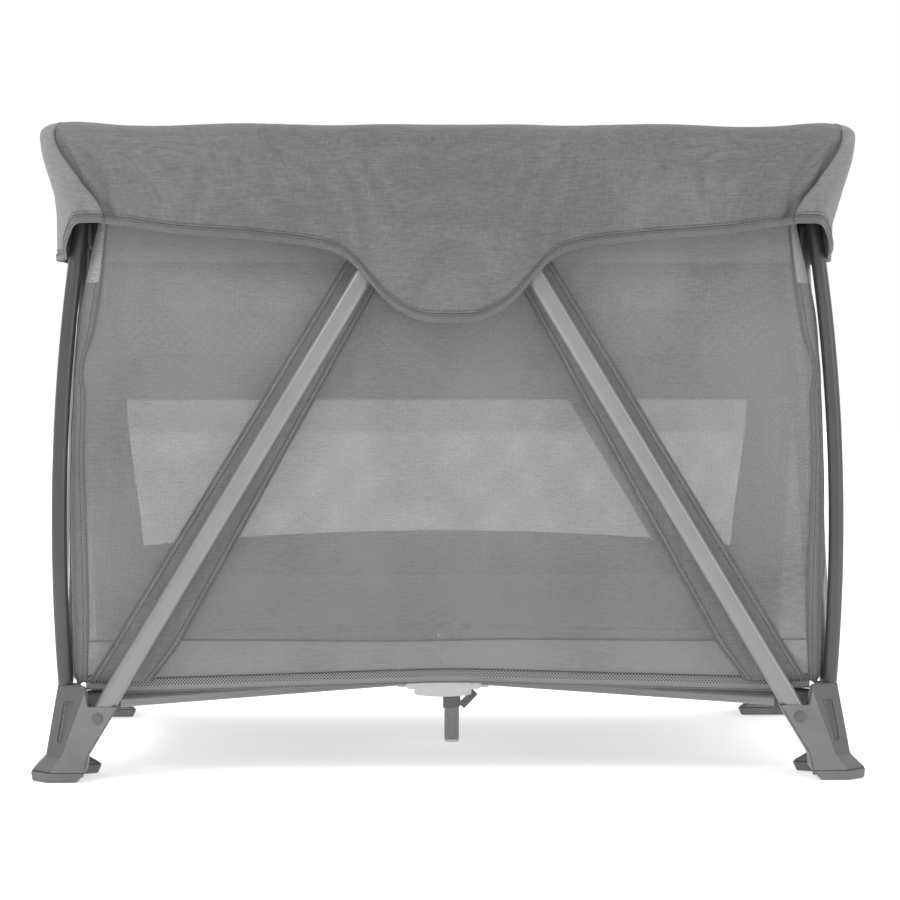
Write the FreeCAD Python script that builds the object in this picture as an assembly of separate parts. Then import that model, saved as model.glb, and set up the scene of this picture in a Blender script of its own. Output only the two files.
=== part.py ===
import FreeCAD, Part
import math
import os

# Travel play yard with a bassinet insert. Millimetres, origin under the middle, +X along the length,
# -Y is the front, +Z up. Every corner piece is drawn once for the back right corner and mirrored.

Vec = FreeCAD.Vector
ORIGIN = Vec(0, 0, 0)
UP = Vec(0, 0, 1)

# driving dimensions ------------------------------------------------------------------------------------
RUN_FIT = 0.05                 # radial clearance of a running fit
PIN_R = 4.0                    # every pivot pin

POST_X, POST_Y = 473.0, 306.0  # foot of the corner post
POST_R, POST_WALL = 9.5, 1.5
POST_FOOT_Z, POST_TOP_Z = 40.0, 770.0
POST_BOW = 13.0                # how far the post swells outwards at BOW_Z
BOW_Z = 330.0
POST_LEAN = 26.0               # how far its top leans back in

LEG_WIDE, LEG_THICK, LEG_WALL = 25.0, 16.0, 1.2
LEG_GAP = 0.6                  # each side of a leg, in its slot
LEG_FOOT_Z, APEX_Z = 77.0, 690.0
LONG_FOOT, LONG_APEX, LONG_PLANE = 436.0, 67.0, 345.0   # legs of the front and the back
END_FOOT, END_APEX, END_PLANE = 275.0, 26.0, 483.0      # legs of the two ends

SPOKE_X, SPOKE_Y, SPOKE_Z = 430.0, 282.0, 90.0          # outer pivot of a floor spoke
SPOKE_R, SPOKE_WALL = 8.75, 1.2
HUB_PIVOT_R = 55.0                                      # inner pivot, from the middle
CLEVIS_GAP, CHEEK = 18.4, 5.0

HUB_R, HUB_LOW, HUB_HIGH = 39.0, 66.0, 110.0
COVER_HIGH = 116.0
STEM_R = 5.0
CENTRE_LEG_R, CENTRE_LEG_X, CENTRE_LEG_LOW = 10.0, 12.0, 4.0
HANDLE_RING_Z, HANDLE_RING_R, HANDLE_BAR_R = 156.0, 20.0, 5.0
FLANGE_LOW, FLANGE_HIGH = 76.0, 80.0

HOUSING_LOW, HOUSING_HIGH = 12.0, 115.0
FACE_X, FACE_Y = (488.9, 504.2), (353.9, 363.5)         # its outer faces, at its top and at its bottom
RIDGE_X = (451.0, 488.0)       # where the face across the corner begins, likewise
SLEEVE_TOP = 92.0              # where the leg sleeves end, below the post's collar
SLEEVE_BACK, END_SLEEVE_BACK = 331.0, 469.0
FLARE_TOP = 28.0               # where the housing's flared foot ends
CAP_LOW, CAP_HIGH = 740.0, 800.0

WALL_PLANE_Y, WALL_PLANE_X, WALL_T = 318.5, 461.5, 2.0
WALL_HALF_X, WALL_HALF_Y = 435.5, 268.5
WALL_LOW = 116.0
APRON_Y, APRON_X, APRON_T = 361.0, 504.0, 2.5
RIM_LOW, RIM_HIGH = 808.0, 812.0
HEM_Z, SCALLOP_Z, END_SCALLOP_Z = 690.0, 573.0, 648.0
FABRIC_GAP = 0.6

BASSINET_X, BASSINET_Y, BASSINET_T = 432.0, 289.0, 2.0
BASSINET_LOW, BASSINET_HIGH = 471.0, 800.0
BOARD_T, MATTRESS_T = 5.0, 26.0
TUB_LOW, TUB_HIGH = 119.0, 122.0

SIDES = {"left": -1, "right": 1, "front": -1, "back": 1}
CORNERS = [("fl", -1, -1), ("fr", 1, -1), ("bl", -1, 1), ("br", 1, 1)]


# helpers -----------------------------------------------------------------------------------------------
def box(x0, x1, y0, y1, z0, z1):
    return Part.makeBox(x1 - x0, y1 - y0, z1 - z0, Vec(x0, y0, z0))


def rod(radius, start, end):
    return Part.makeCylinder(radius, (end - start).Length, start, end - start)


def placed(shape, x_sign, y_sign):
    """The same piece at the corner, or on the side, that the two signs name."""
    if x_sign < 0:
        shape = shape.mirror(ORIGIN, Vec(1, 0, 0))
    if y_sign < 0:
        shape = shape.mirror(ORIGIN, Vec(0, 1, 0))
    return shape


def rounded(shape, radius, direction):
    """Rounds the straight edges that run along direction."""
    edges = []
    for edge in shape.Edges:
        along = abs(edge.tangentAt(edge.FirstParameter).dot(direction))
        if isinstance(edge.Curve, Part.Line) and along > 0.999:
            edges.append(edge)
    return shape.makeFillet(radius, edges)


def face_of(edges):
    return Part.Face(Part.Wire(Part.__sortEdges__(edges)))


def stadium(length, width, thick):
    """A rounded bar section in the XY plane, centred, length over its round ends."""
    half = (length - width) / 2
    r = width / 2
    edges = [
        Part.makeLine(Vec(-half, -r, 0), Vec(half, -r, 0)),
        Part.Arc(Vec(half, -r, 0), Vec(half + r, 0, 0), Vec(half, r, 0)).toShape(),
        Part.makeLine(Vec(half, r, 0), Vec(-half, r, 0)),
        Part.Arc(Vec(-half, r, 0), Vec(-half - r, 0, 0), Vec(-half, -r, 0)).toShape(),
    ]
    return face_of(edges).extrude(Vec(0, 0, thick))


def save(node, shape):
    shape.exportStep("parts/" + node + ".step")
    box_ = shape.BoundBox
    print("%-24s solids %2d valid %s  x %7.1f %7.1f  y %7.1f %7.1f  z %6.1f %6.1f  vol %9.0f" % (
        node, len(shape.Solids), shape.isValid(), box_.XMin, box_.XMax, box_.YMin, box_.YMax,
        box_.ZMin, box_.ZMax, shape.Volume))


# corner: post, foot housing, pad, cap and pins -----------------------------------------------------------
def post_arc(low, high):
    """Centre line of the bowed post between two heights."""
    def at(z):
        rise = (z - POST_FOOT_Z) / (POST_TOP_Z - POST_FOOT_Z)
        swell = (POST_BOW + POST_LEAN * (BOW_Z - POST_FOOT_Z) / (POST_TOP_Z - POST_FOOT_Z))
        swell *= (z - POST_FOOT_Z) * (POST_TOP_Z - z)
        swell /= (BOW_Z - POST_FOOT_Z) * (POST_TOP_Z - BOW_Z)
        shift = swell - POST_LEAN * rise
        return Vec(POST_X + shift, POST_Y + shift, z)
    return Part.Arc(at(low), at((low + high) / 2), at(high)).toShape()


def post_solid(radius):
    path = post_arc(POST_FOOT_Z, POST_TOP_Z)
    start = path.valueAt(path.FirstParameter)
    tangent = path.tangentAt(path.FirstParameter)
    ring = Part.Wire(Part.makeCircle(radius, start, tangent))
    return Part.Wire(path).makePipe(Part.Face(ring))


def corner_post():
    return post_solid(POST_R).cut(post_solid(POST_R - POST_WALL))


def spoke_direction():
    """Plan unit vector from the foot of the back right corner to the hub, and the pin's direction."""
    inward = Vec(-SPOKE_X, -SPOKE_Y, 0).normalize()
    return inward, inward.cross(UP)


def clevis_cheeks(pivot, along, length_out, length_in, low, high):
    """Two plates beside a spoke's end. along points from the plates' root over the pivot."""
    side = along.cross(UP)
    cheeks = []
    for sign in (-1, 1):
        middle = pivot + side * (sign * (CLEVIS_GAP + CHEEK) / 2)
        plate = Part.makeBox(length_in + length_out, CHEEK, high - low, Vec(-length_in, -CHEEK / 2, low))
        turn = math.degrees(math.atan2(along.y, along.x))
        plate = rounded(plate, 4.0, Vec(0, 1, 0)) if length_out > 8 else plate
        plate.rotate(ORIGIN, UP, turn)
        plate.translate(Vec(middle.x, middle.y, 0))
        cheeks.append(plate)
    return cheeks


def sloped(sizes, z):
    """A size that changes evenly from the top of the housing to its bottom."""
    at_high, at_low = sizes
    share = (HOUSING_HIGH - z) / (HOUSING_HIGH - HOUSING_LOW)
    return at_high + (at_low - at_high) * share


def leg_edge(foot, apex, z):
    """Half the spacing of a pair's legs at a height, and half a leg's level width."""
    slope = (foot - apex) / (APEX_Z - LEG_FOOT_Z)
    return foot - slope * (z - LEG_FOOT_Z), LEG_WIDE / 2 * math.hypot(1, slope)


def housing_outline(z, grow=0.0, inward=0.0, toe=0.0):
    """Plan of the foot: a leg sleeve along each wall, joined by a face across the corner."""
    face_y = sloped(FACE_Y, z) + grow
    face_x = sloped(FACE_X, z) + grow
    long_mid, long_half = leg_edge(LONG_FOOT, LONG_APEX, z)
    end_mid, end_half = leg_edge(END_FOOT, END_APEX, z)
    ridge = sloped(RIDGE_X, z) + grow * 0.4
    near_x = long_mid - long_half - 2.0 - inward
    near_y = end_mid - end_half - 2.0 - inward
    points = [
        (near_x, face_y), (ridge, face_y), (face_x, face_y + ridge - face_x), (face_x, near_y),
        (END_SLEEVE_BACK - toe, near_y), (END_SLEEVE_BACK - 3 - toe, 290), (462, 300),
        (456, SLEEVE_BACK - inward * 0.4), (near_x, SLEEVE_BACK - inward * 0.4),
    ]
    points = [Vec(x, y, z) for x, y in points]
    return Part.makePolygon(points + points[:1])


def sole_outline(z):
    return housing_outline(z, 15.0, 9.0, 30.0)


def leg_slot(foot, apex):
    """Space that a leg sweeps in its sleeve, on the side y = 0."""
    half_t = LEG_THICK / 2 + LEG_GAP
    half_w = LEG_WIDE / 2 + LEG_GAP
    rest = math.degrees(math.atan2(foot - apex, APEX_Z - LEG_FOOT_Z))
    slot = rod(half_w, Vec(0, -half_t, 0), Vec(0, half_t, 0))
    steps = 5
    for step in range(steps + 1):
        bar = box(-half_w, half_w, -half_t, half_t, 0, 70)
        bar.rotate(ORIGIN, Vec(0, 1, 0), -rest * step / steps)
        slot = slot.fuse(bar)
    slot.translate(Vec(foot, 0, LEG_FOOT_Z))
    return slot


def wedge(points, depth):
    """Prism over points in the XZ plane, from y = 0 to depth."""
    corners = [Vec(x, 0, z) for x, z in points]
    return Part.Face(Part.makePolygon(corners + corners[:1])).extrude(Vec(0, depth, 0))


def swap_xy(shape):
    return shape.mirror(ORIGIN, Vec(1, -1, 0))


def corner_recess():
    """Tapered thumb-shaped hollow in the face across the corner, tilted with that face."""
    middle_z, depth = 72.0, 4.5
    outline = [Vec(-11, 0, 26), Vec(11, 0, 26), Vec(6, 0, -22), Vec(-6, 0, -22)]
    hollow = Part.Face(Part.makePolygon(outline + outline[:1])).extrude(Vec(0, 20, 0))
    hollow = hollow.fuse(rod(6.0, Vec(0, 0, -22), Vec(0, 20, -22)))
    hollow.translate(Vec(-3, -depth, 0))
    outer, ridge, face_y = (sloped(sizes, middle_z) for sizes in (FACE_X, RIDGE_X, FACE_Y))
    run = RIDGE_X[1] - RIDGE_X[0] + FACE_Y[1] - FACE_Y[0]
    lean = run / math.sqrt(2) / (HOUSING_HIGH - HOUSING_LOW)
    hollow.rotate(ORIGIN, Vec(1, 0, 0), math.degrees(math.atan(lean)))
    hollow.rotate(ORIGIN, UP, -45)
    hollow.translate(Vec((outer + ridge) / 2, face_y - (outer - ridge) / 2, middle_z))
    return hollow


def foot_housing():
    inward, pin_way = spoke_direction()
    shape = Part.makeLoft([housing_outline(HOUSING_LOW), housing_outline(HOUSING_HIGH)], True, True)
    flare = Part.makeLoft([sole_outline(HOUSING_LOW), housing_outline(FLARE_TOP, 1.0, 1.0, 2.0)], True, True)
    above_long = wedge([(380, SLEEVE_TOP), (448, SLEEVE_TOP), (449, 103), (458, 130), (380, 130)], 60)
    above_long.translate(Vec(0, SLEEVE_BACK - 4, 0))
    above_end = wedge([(230, SLEEVE_TOP), (289, SLEEVE_TOP), (290, 103), (297, 130), (230, 130)], 60)
    above_end.translate(Vec(0, END_SLEEVE_BACK - 4, 0))
    long_slot = leg_slot(LONG_FOOT, LONG_APEX)
    long_slot.translate(Vec(0, LONG_PLANE, 0))
    end_slot = leg_slot(END_FOOT, END_APEX)
    end_slot.translate(Vec(0, END_PLANE, 0))
    shape = shape.fuse(flare).cut([above_long, swap_xy(above_end), corner_recess()])
    pivot = Vec(SPOKE_X, SPOKE_Y, 0)
    shape = shape.fuse(clevis_cheeks(pivot, inward, 12.0, 48.0, SPOKE_Z - 14, SPOKE_Z + 14))
    foot_pivot = Vec(SPOKE_X, SPOKE_Y, SPOKE_Z)
    bores = [
        rod(PIN_R, foot_pivot - pin_way * 30, foot_pivot + pin_way * 30),
        rod(PIN_R, Vec(LONG_FOOT, 320, LEG_FOOT_Z), Vec(LONG_FOOT, 370, LEG_FOOT_Z)),
        rod(PIN_R, Vec(460, END_FOOT, LEG_FOOT_Z), Vec(510, END_FOOT, LEG_FOOT_Z)),
    ]
    return shape.cut([long_slot, swap_xy(end_slot), post_solid(POST_R)] + bores).removeSplitter()


def foot_pad():
    """Rubber sole under the housing."""
    return Part.makeLoft([housing_outline(0.0, 11.0, 5.0, 25.0), sole_outline(HOUSING_LOW)], True, True)


def post_cap():
    """Moulded corner that the rim hangs on: a shell, open below, with a socket for the post."""
    near_x, far_x, shell = 436.5, 490.0, 4.0
    near_y, far_y = near_x - (POST_X - POST_Y), far_x - (POST_X - POST_Y)
    cap = rounded(box(near_x, far_x, near_y, far_y, CAP_LOW, CAP_HIGH), 14.0, UP)
    top = [edge for edge in cap.Edges if edge.BoundBox.ZMin > CAP_HIGH - 1]
    cap = cap.makeFillet(10.0, top)
    inside = box(near_x + shell, far_x - shell, near_y + shell, far_y - shell, CAP_LOW - 1, CAP_HIGH - shell)
    inside = rounded(inside, 10.0, UP)
    socket = post_solid(POST_R + 3.0).common(inside)
    return cap.cut(inside).fuse(socket).cut(post_solid(POST_R)).removeSplitter()


def pin(start, end, head_r, head_t):
    """A riveted pin with a flat head beyond each of its ends."""
    way = (end - start).normalize()
    shank = rod(PIN_R, start, end)
    return shank.fuse([rod(head_r, start - way * head_t, start), rod(head_r, end, end + way * head_t)])


def corner_pins():
    pin_way = spoke_direction()[1]
    pivot = Vec(SPOKE_X, SPOKE_Y, SPOKE_Z)
    reach = CLEVIS_GAP / 2 + CHEEK
    long_end, end_end = sloped(FACE_Y, LEG_FOOT_Z - 7), sloped(FACE_X, LEG_FOOT_Z - 7)
    return Part.Compound([
        pin(pivot - pin_way * reach, pivot + pin_way * reach, 6.5, 2.0),
        pin(Vec(LONG_FOOT, SLEEVE_BACK, LEG_FOOT_Z), Vec(LONG_FOOT, long_end, LEG_FOOT_Z), 6.0, 2.0),
        pin(Vec(END_SLEEVE_BACK - 3, END_FOOT, LEG_FOOT_Z), Vec(end_end, END_FOOT, LEG_FOOT_Z), 6.0, 2.0),
    ])


# V legs and their apex brackets --------------------------------------------------------------------------
def v_leg(foot, apex, bored_apex):
    """Leg of the side y = 0, from (foot, 0, LEG_FOOT_Z) up to (apex, 0, APEX_Z), thick along Y."""
    rise = APEX_Z - LEG_FOOT_Z
    length = math.hypot(foot - apex, rise)
    end_r = LEG_WIDE / 2
    outer = stadium(LEG_WIDE, LEG_THICK, length + 2 * end_r)
    outer.translate(Vec(0, 0, -end_r))
    half = LEG_THICK / 2 + 1
    limits = box(-end_r, end_r, -half, half, 0, length)
    for z in (0, length):
        limits = limits.fuse(rod(end_r, Vec(0, -half, z), Vec(0, half, z)))
    leg = outer.common(limits)
    hollow = stadium(LEG_WIDE - 2 * LEG_WALL, LEG_THICK - 2 * LEG_WALL, length - 40)
    hollow.translate(Vec(0, 0, 20))
    cuts = [hollow, rod(PIN_R + RUN_FIT, Vec(0, -half, 0), Vec(0, half, 0))]
    if bored_apex:
        cuts.append(rod(PIN_R + RUN_FIT, Vec(0, -half, length), Vec(0, half, length)))
    leg = leg.cut(cuts)
    leg.rotate(ORIGIN, Vec(0, 1, 0), -math.degrees(math.atan2(foot - apex, rise)))
    leg.translate(Vec(foot, 0, LEG_FOOT_Z))
    return leg


def apex_bracket(apex):
    """Two cheek plates and the block between them, with the one riveted pin, on the side y = 0."""
    reach = apex + 16
    gap = LEG_THICK / 2 + 0.6
    plates = []
    for low, high in ((-gap - 5, -gap), (gap, gap + 3.0)):
        plates.append(rounded(box(-reach, reach, low, high, APEX_Z - 22, APEX_Z + 22), 14.0, Vec(0, 1, 0)))
    block = box(-(apex - 20), apex - 20, -gap - 1, gap + 1, APEX_Z - 16, APEX_Z + 18)
    body = block.fuse(plates)
    pivot_low, pivot_high = Vec(-apex, -gap - 5, APEX_Z), Vec(-apex, gap + 3, APEX_Z)
    body = body.cut(rod(PIN_R, pivot_low, pivot_high)).removeSplitter()
    return Part.Compound([body, pin(pivot_low, pivot_high, 6.0, 1.5)])


def on_long_side(shape, y_sign):
    shape = shape.copy()
    shape.translate(Vec(0, LONG_PLANE, 0))
    return placed(shape, 1, y_sign)


def on_end(shape, x_sign):
    """Turns a piece of the side y = 0 so that its X becomes the end's Y."""
    shape = swap_xy(shape)
    shape.translate(Vec(END_PLANE, 0, 0))
    return placed(shape, x_sign, 1)


# floor spokes and hub --------------------------------------------------------------------------------------
def spoke():
    inward = spoke_direction()[0]
    pin_way = spoke_direction()[1]
    outer_pivot = Vec(SPOKE_X, SPOKE_Y, SPOKE_Z)
    inner_pivot = inward * -HUB_PIVOT_R + UP * SPOKE_Z
    over = 10.0
    tube = rod(SPOKE_R, outer_pivot - inward * over, inner_pivot + inward * over)
    hollow = rod(SPOKE_R - SPOKE_WALL, outer_pivot + inward * 16, inner_pivot - inward * 16)
    cuts = [hollow]
    for pivot in (outer_pivot, inner_pivot):
        cuts.append(rod(PIN_R + RUN_FIT, pivot - pin_way * 12, pivot + pin_way * 12))
    return tube.cut(cuts)


def hub_housing():
    shape = Part.makeCylinder(HUB_R, HUB_HIGH - HUB_LOW, Vec(0, 0, HUB_LOW))
    bores = [Part.makeCylinder(26, HUB_HIGH, Vec(0, 0, HUB_LOW + 6))]
    inward, pin_way = spoke_direction()
    for _, x_sign, y_sign in CORNERS:
        pivot = inward * -HUB_PIVOT_R
        cheeks = clevis_cheeks(pivot, inward * -1, 11.0, 22.0, SPOKE_Z - 13, SPOKE_Z + 13)
        shape = shape.fuse([placed(cheek, x_sign, y_sign) for cheek in cheeks])
        at = pivot + UP * SPOKE_Z
        bores.append(placed(rod(PIN_R, at - pin_way * 20, at + pin_way * 20), x_sign, y_sign))
    return shape.cut(bores).removeSplitter()


def hub_pins():
    inward, pin_way = spoke_direction()
    at = inward * -HUB_PIVOT_R + UP * SPOKE_Z
    reach = CLEVIS_GAP / 2 + CHEEK
    one = pin(at - pin_way * reach, at + pin_way * reach, 6.0, 1.5)
    return Part.Compound([placed(one, x_sign, y_sign) for _, x_sign, y_sign in CORNERS])


def hub_cover():
    cover = Part.makeCylinder(HUB_R, COVER_HIGH - HUB_HIGH, Vec(0, 0, HUB_HIGH))
    rim = [edge for edge in cover.Edges if edge.BoundBox.ZMin > COVER_HIGH - 1]
    return cover.makeFillet(4.0, rim).cut(rod(STEM_R + RUN_FIT, Vec(0, 0, HUB_HIGH), Vec(0, 0, COVER_HIGH)))


def pull_handle():
    stem = rod(STEM_R, Vec(0, 0, FLANGE_LOW), Vec(0, 0, HANDLE_RING_Z - HANDLE_RING_R))
    flange = rod(11.0, Vec(0, 0, FLANGE_LOW), Vec(0, 0, FLANGE_HIGH))
    ring = Part.makeTorus(HANDLE_RING_R, HANDLE_BAR_R, Vec(0, 0, HANDLE_RING_Z), Vec(0, 1, 0))
    return stem.fuse([flange, ring])


def handle_spring():
    """Open coil between the handle's flange and the underside of the cover."""
    wire_r, coil_r, turns = 0.8, 8.0, 5
    low, high = FLANGE_HIGH + wire_r + 0.1, HUB_HIGH - wire_r - 0.1
    helix = Part.makeHelix((high - low) / turns, high - low, coil_r)
    helix.translate(Vec(0, 0, low))
    start = Vec(coil_r, 0, low)
    ring = Part.Wire(Part.makeCircle(wire_r, start, Vec(0, 1, 0)))
    return Part.Wire(helix).makePipeShell([ring], True, True)


def centre_leg():
    low, high = Vec(CENTRE_LEG_X, 0, CENTRE_LEG_LOW), Vec(CENTRE_LEG_X, 0, HUB_LOW)
    return rod(CENTRE_LEG_R, low, high).cut(rod(CENTRE_LEG_R - 1.5, low, high))


def centre_leg_cap():
    """Low foot with a plug up the tube."""
    foot = Part.makeCylinder(CENTRE_LEG_R, CENTRE_LEG_LOW, Vec(CENTRE_LEG_X, 0, 0))
    foot = foot.makeFillet(1.0, [edge for edge in foot.Edges if edge.BoundBox.ZMax < 1])
    return foot.fuse(rod(CENTRE_LEG_R - 1.5, Vec(CENTRE_LEG_X, 0, CENTRE_LEG_LOW), Vec(CENTRE_LEG_X, 0, 16)))


def fold_strap():
    """Webbing looped round the top of the centre leg, with its tail up the side of the hub."""
    low, high, cloth = 47.0, 62.0, 1.5
    loop_r = CENTRE_LEG_R + 0.2
    edge = CENTRE_LEG_X + loop_r + 1
    loop = rod(loop_r + cloth, Vec(CENTRE_LEG_X, 0, low), Vec(CENTRE_LEG_X, 0, high))
    outline = [Vec(edge, 0, low + 4), Vec(HUB_R + 1, 0, HUB_LOW - 2), Vec(HUB_R + 1, 0, SPOKE_Z)]
    back = [Vec(HUB_R + 1 + cloth, 0, SPOKE_Z), Vec(HUB_R + 1 + cloth, 0, HUB_LOW - 3), Vec(edge, 0, low + 2)]
    points = outline + back + outline[:1]
    tail = Part.Face(Part.makePolygon(points)).extrude(Vec(0, 15, 0))
    tail.translate(Vec(0, -7.5, 0))
    bore = rod(loop_r, Vec(CENTRE_LEG_X, 0, low - 1), Vec(CENTRE_LEG_X, 0, high + 1))
    return loop.fuse(tail).cut(bore)


# soft goods --------------------------------------------------------------------------------------------------
def wall(plane, half, swap):
    panel = box(-half, half, plane, plane + WALL_T, WALL_LOW, RIM_LOW - FABRIC_GAP)
    return swap_xy(panel) if swap else panel


def apron(plane, half, rim_from, scallop_half, scallop_z, swap):
    """Hanging panel with a scalloped hem, and the strip that runs over the top to the wall."""
    flat = scallop_half * 0.3
    mid = (flat + scallop_half) / 2
    shoulder = HEM_Z - 14
    slope_z = (shoulder + scallop_z) / 2
    steep = (shoulder - scallop_z) / 103
    edge = []
    for sign in (-1, 1):
        edge += [
            Part.makeLine(Vec(sign * half, 0, RIM_HIGH), Vec(sign * half, 0, HEM_Z)),
            Part.Arc(Vec(sign * half, 0, HEM_Z), Vec(sign * (half + scallop_half) / 2, 0, HEM_Z - 11),
                     Vec(sign * scallop_half, 0, shoulder)).toShape(),
            Part.Arc(Vec(sign * scallop_half, 0, shoulder), Vec(sign * (mid + 32), 0, slope_z + 36 * steep),
                     Vec(sign * mid, 0, slope_z)).toShape(),
            Part.Arc(Vec(sign * mid, 0, slope_z), Vec(sign * (flat + 24), 0, scallop_z + 10 * steep),
                     Vec(sign * flat, 0, scallop_z)).toShape(),
        ]
    edge.append(Part.makeLine(Vec(-flat, 0, scallop_z), Vec(flat, 0, scallop_z)))
    edge.append(Part.makeLine(Vec(-half, 0, RIM_HIGH), Vec(half, 0, RIM_HIGH)))
    panel = face_of(edge).extrude(Vec(0, APRON_T, 0))
    panel.translate(Vec(0, plane, 0))
    rim_half = WALL_PLANE_Y - FABRIC_GAP if swap else APRON_X - FABRIC_GAP
    shape = panel.fuse(box(-rim_half, rim_half, rim_from, plane + 1, RIM_LOW, RIM_HIGH)).removeSplitter()
    return swap_xy(shape) if swap else shape


def tub_floor():
    floor = rounded(box(-446, 446, -303, 303, TUB_LOW, TUB_HIGH), 40.0, UP)
    return floor.cut(Part.makeCylinder(12, 20, Vec(0, 0, TUB_LOW - 5)))


def bassinet_walls():
    block = box(-BASSINET_X, BASSINET_X, -BASSINET_Y, BASSINET_Y, BASSINET_LOW, BASSINET_HIGH)
    outer = rounded(block, 30.0, UP)
    x, y = BASSINET_X - BASSINET_T, BASSINET_Y - BASSINET_T
    inner = rounded(box(-x, x, -y, y, BASSINET_LOW - 1, BASSINET_HIGH + 1), 28.0, UP)
    return outer.cut(inner)


def half_slab(margin, low, high):
    """Back half of a slab inside the bassinet walls."""
    x, y = BASSINET_X - BASSINET_T - margin, BASSINET_Y - BASSINET_T - margin
    slab = box(-x, x, 1.0, y, low, high)
    far = []
    for edge in slab.Edges:
        if edge.BoundBox.ZLength > 1 and edge.BoundBox.YMin > y - 1:
            far.append(edge)
    return slab.makeFillet(28.0, far)


def main():
    os.makedirs("parts", exist_ok=True)

    corner_pieces = {
        "foot_housing": foot_housing(), "foot_pad": foot_pad(), "corner_post": corner_post(),
        "post_cap": post_cap(), "corner_pins": corner_pins(), "spoke": spoke(),
    }
    for name, x_sign, y_sign in CORNERS:
        for piece, shape in corner_pieces.items():
            save(piece + "_" + name, placed(shape, x_sign, y_sign))

    for long_side in ("front", "back"):
        for end in ("left", "right"):
            bored = end == "left"
            leg = placed(v_leg(LONG_FOOT, LONG_APEX, bored), SIDES[end], 1)
            save("v_leg_%s_%s" % (long_side, end), on_long_side(leg, SIDES[long_side]))
            bored = long_side == "front"
            leg = placed(v_leg(END_FOOT, END_APEX, bored), SIDES[long_side], 1)
            save("v_leg_%s_%s" % (end, long_side), on_end(leg, SIDES[end]))
    for side in ("front", "back"):
        save("apex_bracket_" + side, on_long_side(apex_bracket(LONG_APEX), SIDES[side]))
        save("mesh_wall_" + side, placed(wall(WALL_PLANE_Y, WALL_HALF_X, False), 1, SIDES[side]))
        front_apron = apron(APRON_Y, APRON_X + APRON_T, WALL_PLANE_Y, 185, SCALLOP_Z, False)
        save("rim_apron_" + side, placed(front_apron, 1, SIDES[side]))
    for side in ("left", "right"):
        save("apex_bracket_" + side, on_end(apex_bracket(END_APEX), SIDES[side]))
        save("mesh_wall_" + side, placed(wall(WALL_PLANE_X, WALL_HALF_Y, True), SIDES[side], 1))
        end_half = APRON_Y - FABRIC_GAP
        end_apron = apron(APRON_X, end_half, WALL_PLANE_X, 290, END_SCALLOP_Z, True)
        save("rim_apron_" + side, placed(end_apron, SIDES[side], 1))

    save("hub_housing", hub_housing())
    save("hub_cover", hub_cover())
    save("hub_pins", hub_pins())
    save("pull_handle", pull_handle())
    save("handle_spring", handle_spring())
    save("centre_leg", centre_leg())
    save("centre_leg_cap", centre_leg_cap())
    save("fold_strap", fold_strap())

    save("tub_floor", tub_floor())
    save("bassinet_walls", bassinet_walls())
    board_top = BASSINET_LOW + BOARD_T
    for side in ("front", "back"):
        save("bassinet_board_" + side, placed(half_slab(1.0, BASSINET_LOW, board_top), 1, SIDES[side]))
        save("mattress_" + side, placed(half_slab(2.0, board_top, board_top + MATTRESS_T), 1, SIDES[side]))


main()
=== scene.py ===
import bpy
import bmesh
import math
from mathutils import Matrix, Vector, noise


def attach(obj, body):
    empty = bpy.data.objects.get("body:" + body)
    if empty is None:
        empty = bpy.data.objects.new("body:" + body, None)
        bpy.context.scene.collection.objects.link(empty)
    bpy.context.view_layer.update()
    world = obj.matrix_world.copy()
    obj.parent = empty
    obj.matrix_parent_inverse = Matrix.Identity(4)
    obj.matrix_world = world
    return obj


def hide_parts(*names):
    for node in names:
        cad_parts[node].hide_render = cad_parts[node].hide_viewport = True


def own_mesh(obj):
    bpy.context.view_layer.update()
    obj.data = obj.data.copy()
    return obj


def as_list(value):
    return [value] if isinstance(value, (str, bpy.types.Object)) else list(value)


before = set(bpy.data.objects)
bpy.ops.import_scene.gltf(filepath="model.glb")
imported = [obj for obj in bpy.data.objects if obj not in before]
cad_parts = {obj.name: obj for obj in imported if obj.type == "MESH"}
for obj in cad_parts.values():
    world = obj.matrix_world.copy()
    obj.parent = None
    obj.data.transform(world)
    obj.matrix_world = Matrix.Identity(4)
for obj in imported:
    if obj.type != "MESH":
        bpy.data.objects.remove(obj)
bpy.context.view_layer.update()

# Travel play yard. Metres, +X along its length, -Y is its front, +Z up.
# One quarter or one side of each soft piece is described, and the others are mirrored from it.

SIDE_X = {"left": -1, "right": 1}
HAND = {-1: "left", 1: "right"}
CORNER = {"fl": (-1, -1), "fr": (1, -1), "bl": (-1, 1), "br": (1, 1)}
LONG_BODY = {"front": "corner_fl", "back": "corner_bl"}
END_BODY = {"left": "corner_fl", "right": "corner_fr"}

# fold settings for the cloth as the frame closes, towards the front left corner, which stays where it is
LONG_FOLD = dict(axis=(1, 0, 0), anchor=(-0.46, 0, 0), keep=0.262)
END_FOLD = dict(axis=(0, 1, 0), anchor=(0, -0.32, 0), keep=0.31)
PAD_FOLD = dict(axis=(1, 0, 0), anchor=(-0.43, 0, 0.49), keep=0.235)
BOARD_FOLD = dict(PAD_FOLD, anchor=(-0.43, 0, 0.47))

WALL_Y, END_Y = 0.3195, 0.285       # plane of the long walls, and where an end wall's seam stands
WALL_TOP, TRIM = 0.790, 0.018
WALL_HALF = 0.4535                  # half length of a long wall at its lower edge
BAND_LOW, BAND_TOP = 0.1195, 0.684  # reach of the woven bands behind the V legs
APRON_FACE, APRON_END = 0.3680, 0.5085


def grey(value, warm=0.0):
    """A linear colour from an sRGB grey between 0 and 255."""
    out = []
    for shift in (warm, 0.0, -warm):
        v = (value + shift) / 255
        out.append(v / 12.92 if v < 0.04045 else ((v + 0.055) / 1.055) ** 2.4)
    return (*out, 1.0)


def smooth(a, b, x):
    t = min(max((x - a) / (b - a), 0.0), 1.0)
    return t * t * (3 - 2 * t)


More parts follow.
